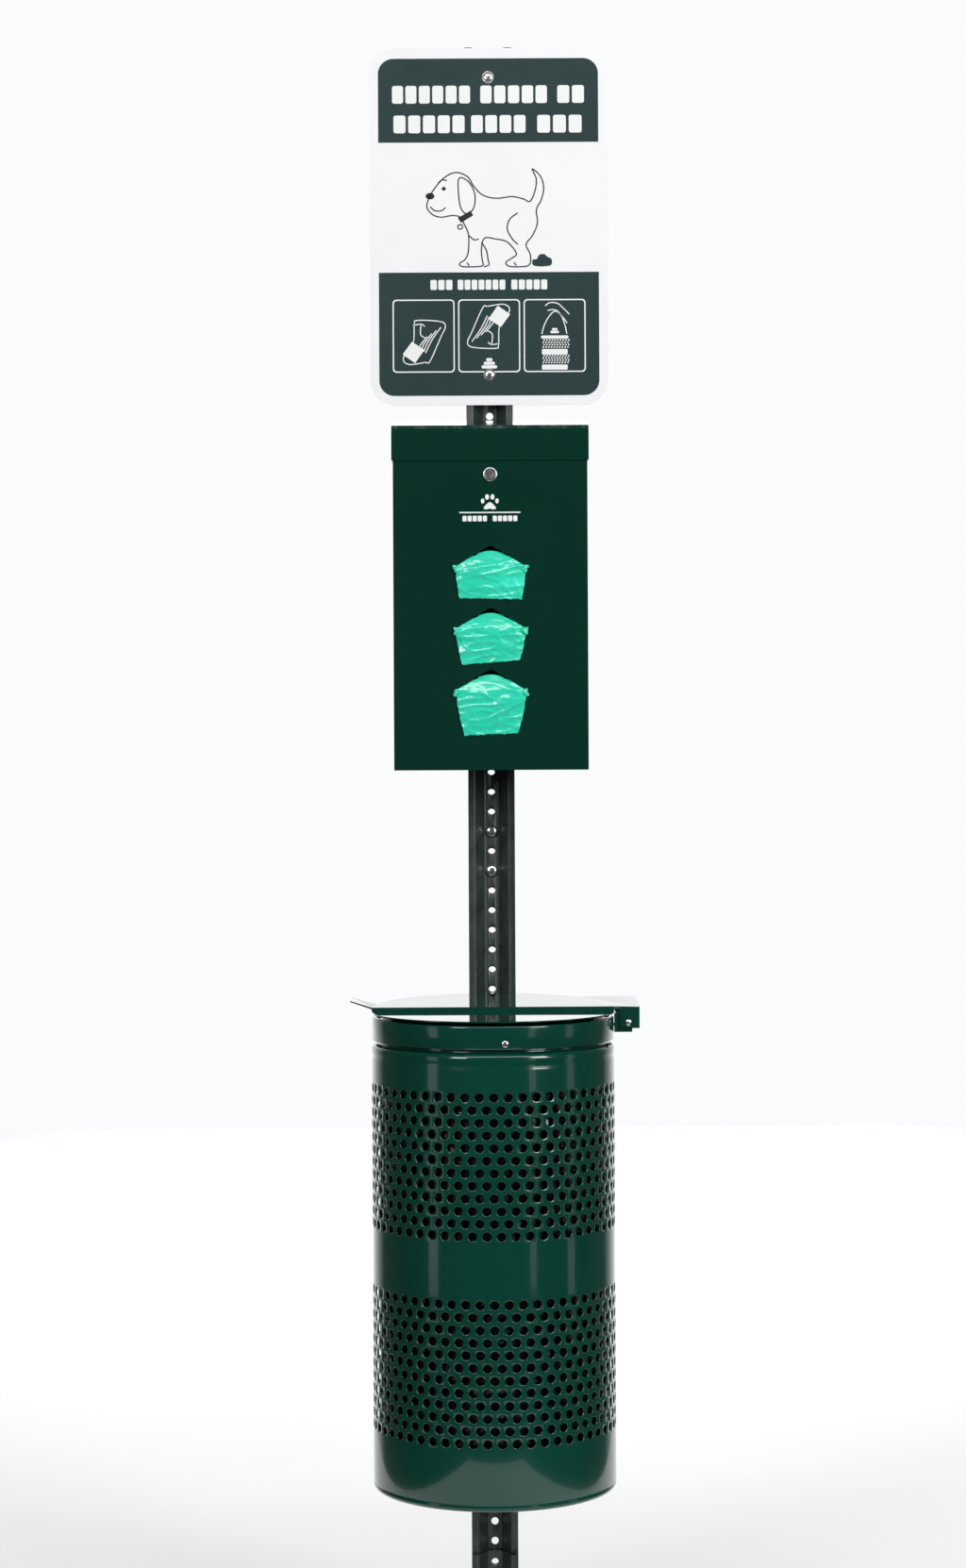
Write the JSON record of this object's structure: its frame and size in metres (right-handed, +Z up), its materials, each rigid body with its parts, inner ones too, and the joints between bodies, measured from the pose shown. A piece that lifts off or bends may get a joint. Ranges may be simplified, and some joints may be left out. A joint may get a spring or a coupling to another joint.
{
  "type": "pet waste station",
  "caption": "Post-mounted dog waste bin: channel steel post with a sign, a lockable bag dispenser with a hinged hood, and a round perforated can with a swing-up lid.",
  "frame": {"origin": "the post's centre line at the front plane of the upper post's flanges, at ground level", "axes": "+Z up along the post, -Y towards the user in front of the dispenser, +X towards the lid's hinge side"},
  "size_m": [0.3563, 0.3448, 2.542],
  "materials": {
    "green_enamel": "gloss",
    "post_paint": "satin",
    "sign_face": "satin",
    "bright_fastener": "polished",
    "zinc_steel": "satin",
    "liner_film": "satin",
    "bag_film": "satin"
  },
  "bodies": {
    "station": {"anchor_bolt_lower": "bright_fastener", "anchor_bolt_upper": "bright_fastener", "anchor_nut_lower": "zinc_steel", "anchor_nut_upper": "zinc_steel", "bag_pack_1": "bag_film", "bag_pack_2": "bag_film", "bag_pack_3": "bag_film", "bag_tray_1": "zinc_steel", "bag_tray_2": "zinc_steel", "bag_tray_3": "zinc_steel", "bin_body": "green_enamel", "bin_bolt_lower": "zinc_steel", "bin_bolt_upper": "zinc_steel", "bin_bracket_lower": "post_paint", "bin_bracket_upper": "post_paint", "bin_floor": "green_enamel", "bin_liner": "liner_film", "bin_nut_lower": "zinc_steel", "bin_nut_upper": "zinc_steel", "bracket_rivet_front": "zinc_steel", "bracket_rivet_rear": "zinc_steel", "collar_screw_1": "bright_fastener", "collar_screw_2": "bright_fastener", "collar_screw_3": "bright_fastener", "dispenser_back": "green_enamel", "dispenser_bolt_lower": "zinc_steel", "dispenser_bolt_upper": "zinc_steel", "dispenser_front": "green_enamel", "dispenser_nut_lower": "zinc_steel", "dispenser_nut_upper": "zinc_steel", "dispenser_sides": "green_enamel", "ground_anchor": "post_paint", "hanging_bag_1": "bag_film", "hanging_bag_2": "bag_film", "hanging_bag_3": "bag_film", "hinge_bracket": "green_enamel", "hood_pivot_pin_left": "zinc_steel", "hood_pivot_pin_right": "zinc_steel", "lid_collar": "green_enamel", "lock_body": "bright_fastener", "lock_nut": "zinc_steel", "post_lower": "post_paint", "post_upper": "post_paint", "sign_nut_lower": "zinc_steel", "sign_nut_upper": "zinc_steel", "sign_panel": "sign_face", "sign_screw_lower": "bright_fastener", "sign_screw_upper": "bright_fastener", "splice_bolt_lower": "bright_fastener", "splice_bolt_upper": "bright_fastener", "splice_nut_lower": "zinc_steel", "splice_nut_upper": "zinc_steel"},
    "lid": {"bin_lid": "green_enamel", "hinge_pin": "bright_fastener"},
    "hood": {"dispenser_hood": "green_enamel", "hood_latch_tab": "zinc_steel"},
    "lock_rotor": {"lock_plug": "bright_fastener", "lock_cam": "zinc_steel"}
  },
  "joints": [
    {"name": "lid_hinge", "type": "hinge", "parent": "station", "child": "lid", "pos_m": [0.167, -0.151, 0.8072], "axis": [0, 1, 0], "range_deg": [0, 105]},
    {"name": "hood_hinge", "type": "hinge", "parent": "station", "child": "hood", "pos_m": [0, -0.0125, 1.556], "axis": [-1, 0, 0], "range_deg": [0, 85]},
    {"name": "lock_turn", "type": "hinge", "parent": "station", "child": "lock_rotor", "pos_m": [0, -0.0886, 1.4895], "axis": [0, -1, 0], "range_deg": [0, 90]}
  ]
}
